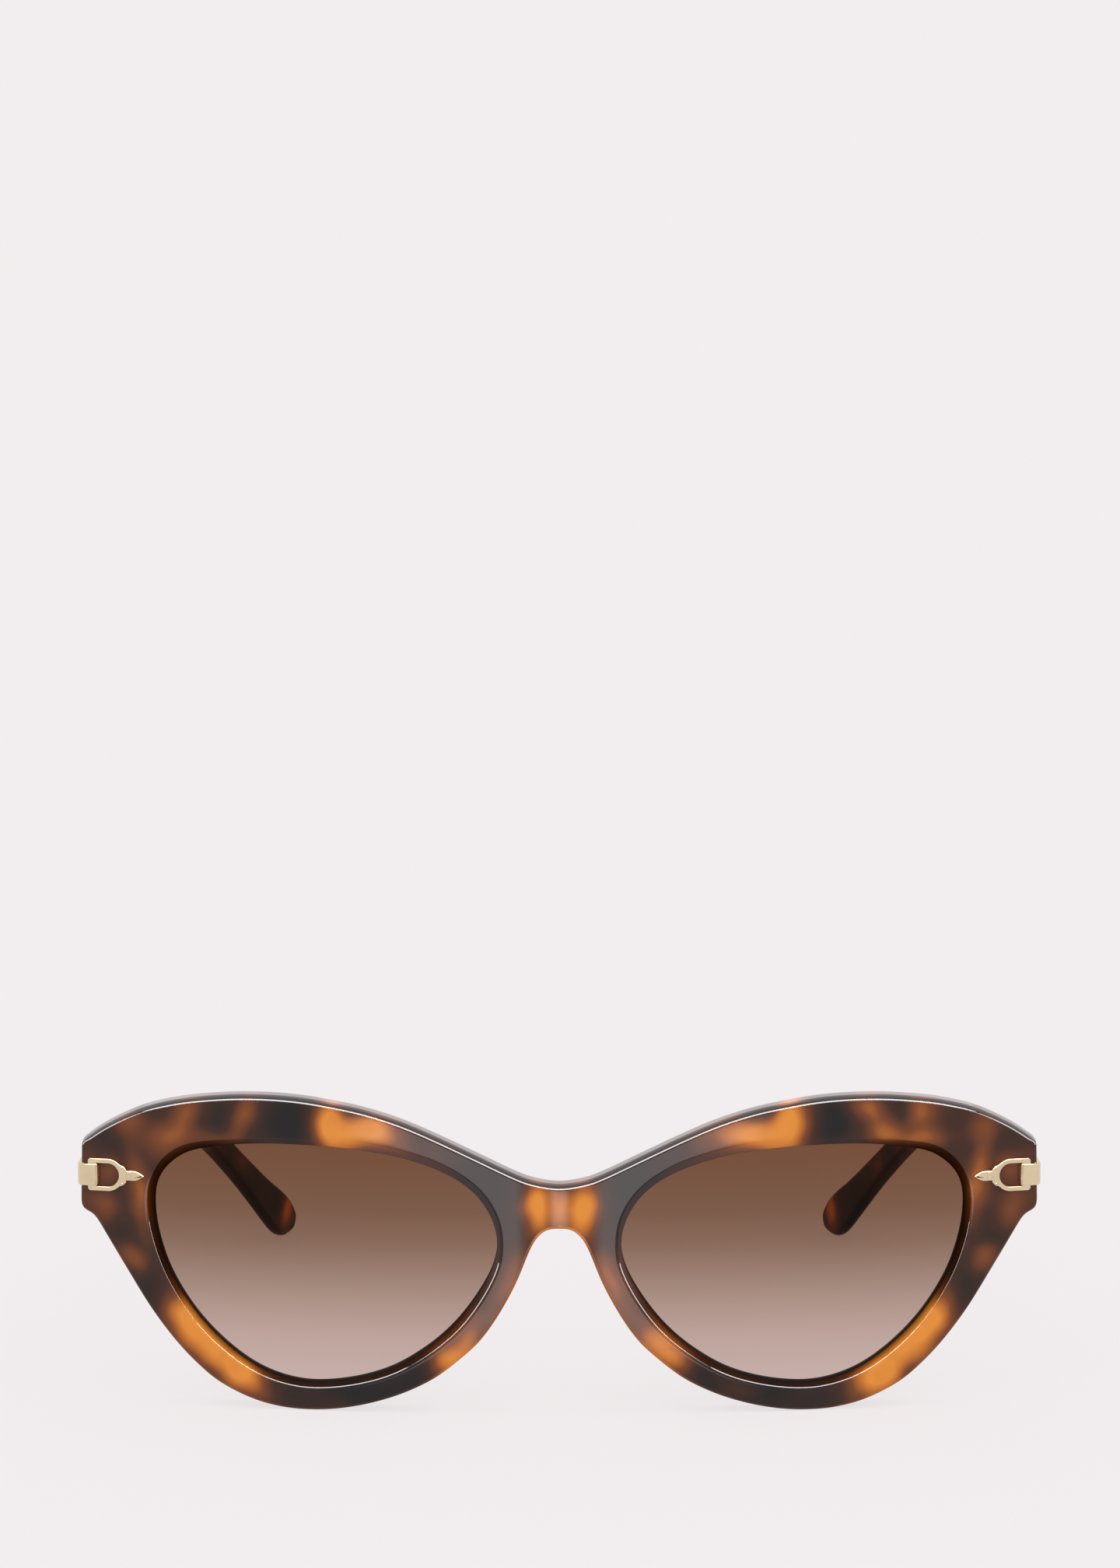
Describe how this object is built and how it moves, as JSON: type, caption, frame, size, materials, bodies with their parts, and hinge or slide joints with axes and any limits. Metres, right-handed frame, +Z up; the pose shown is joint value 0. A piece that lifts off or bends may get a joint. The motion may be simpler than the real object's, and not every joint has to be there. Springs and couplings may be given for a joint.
{
  "type": "cat eye sunglasses",
  "caption": "acetate cat eye sunglasses with upswept bevelled front, gradient tinted lenses, stirrup trims at the end pieces and folding temples on barrel hinges",
  "frame": {"origin": "middle of the bounding box in x and y, on the surface that the open glasses stand on (both rims' lowest points and both temple tips at z = 0)", "axes": "+Z up; the lenses face -Y; the temples run back along +Y; +X is the wearer's left"},
  "size_m": [0.1486, 0.1382, 0.0486],
  "materials": {
    "acetate_tortoise": "polished tortoiseshell acetate, amber patches in dark brown",
    "acetate_temple": "polished dark tortoiseshell acetate",
    "tinted_lens": "polished, brown tint fading to pale rose-brown at the bottom",
    "pale_gold": "pale gold plate, polished",
    "screw_steel": "plated steel",
    "core_steel": "plain wire steel, hidden inside the temple"
  },
  "bodies": {
    "front": {"front_frame": "acetate_tortoise", "lens_left": "tinted_lens", "lens_right": "tinted_lens", "nose_pad_left": "acetate_tortoise", "nose_pad_right": "acetate_tortoise", "trim_left": "pale_gold", "trim_right": "pale_gold", "hinge_front_left": "pale_gold", "hinge_front_right": "pale_gold", "hinge_screw_left": "screw_steel", "hinge_screw_right": "screw_steel"},
    "left_temple": {"temple_left": "acetate_temple", "core_wire_left": "core_steel", "hinge_temple_left": "pale_gold"},
    "right_temple": {"temple_right": "acetate_temple", "core_wire_right": "core_steel", "hinge_temple_right": "pale_gold"}
  },
  "joints": [
    {"name": "left_fold", "type": "hinge", "parent": "front", "child": "left_temple", "pos_m": [0.0682, -0.05306, 0.035], "axis": [0, 0, 1], "range_deg": [0, 82]},
    {"name": "right_fold", "type": "hinge", "parent": "front", "child": "right_temple", "pos_m": [-0.0682, -0.05306, 0.035], "axis": [0, 0, -1], "range_deg": [0, 77.5]}
  ]
}
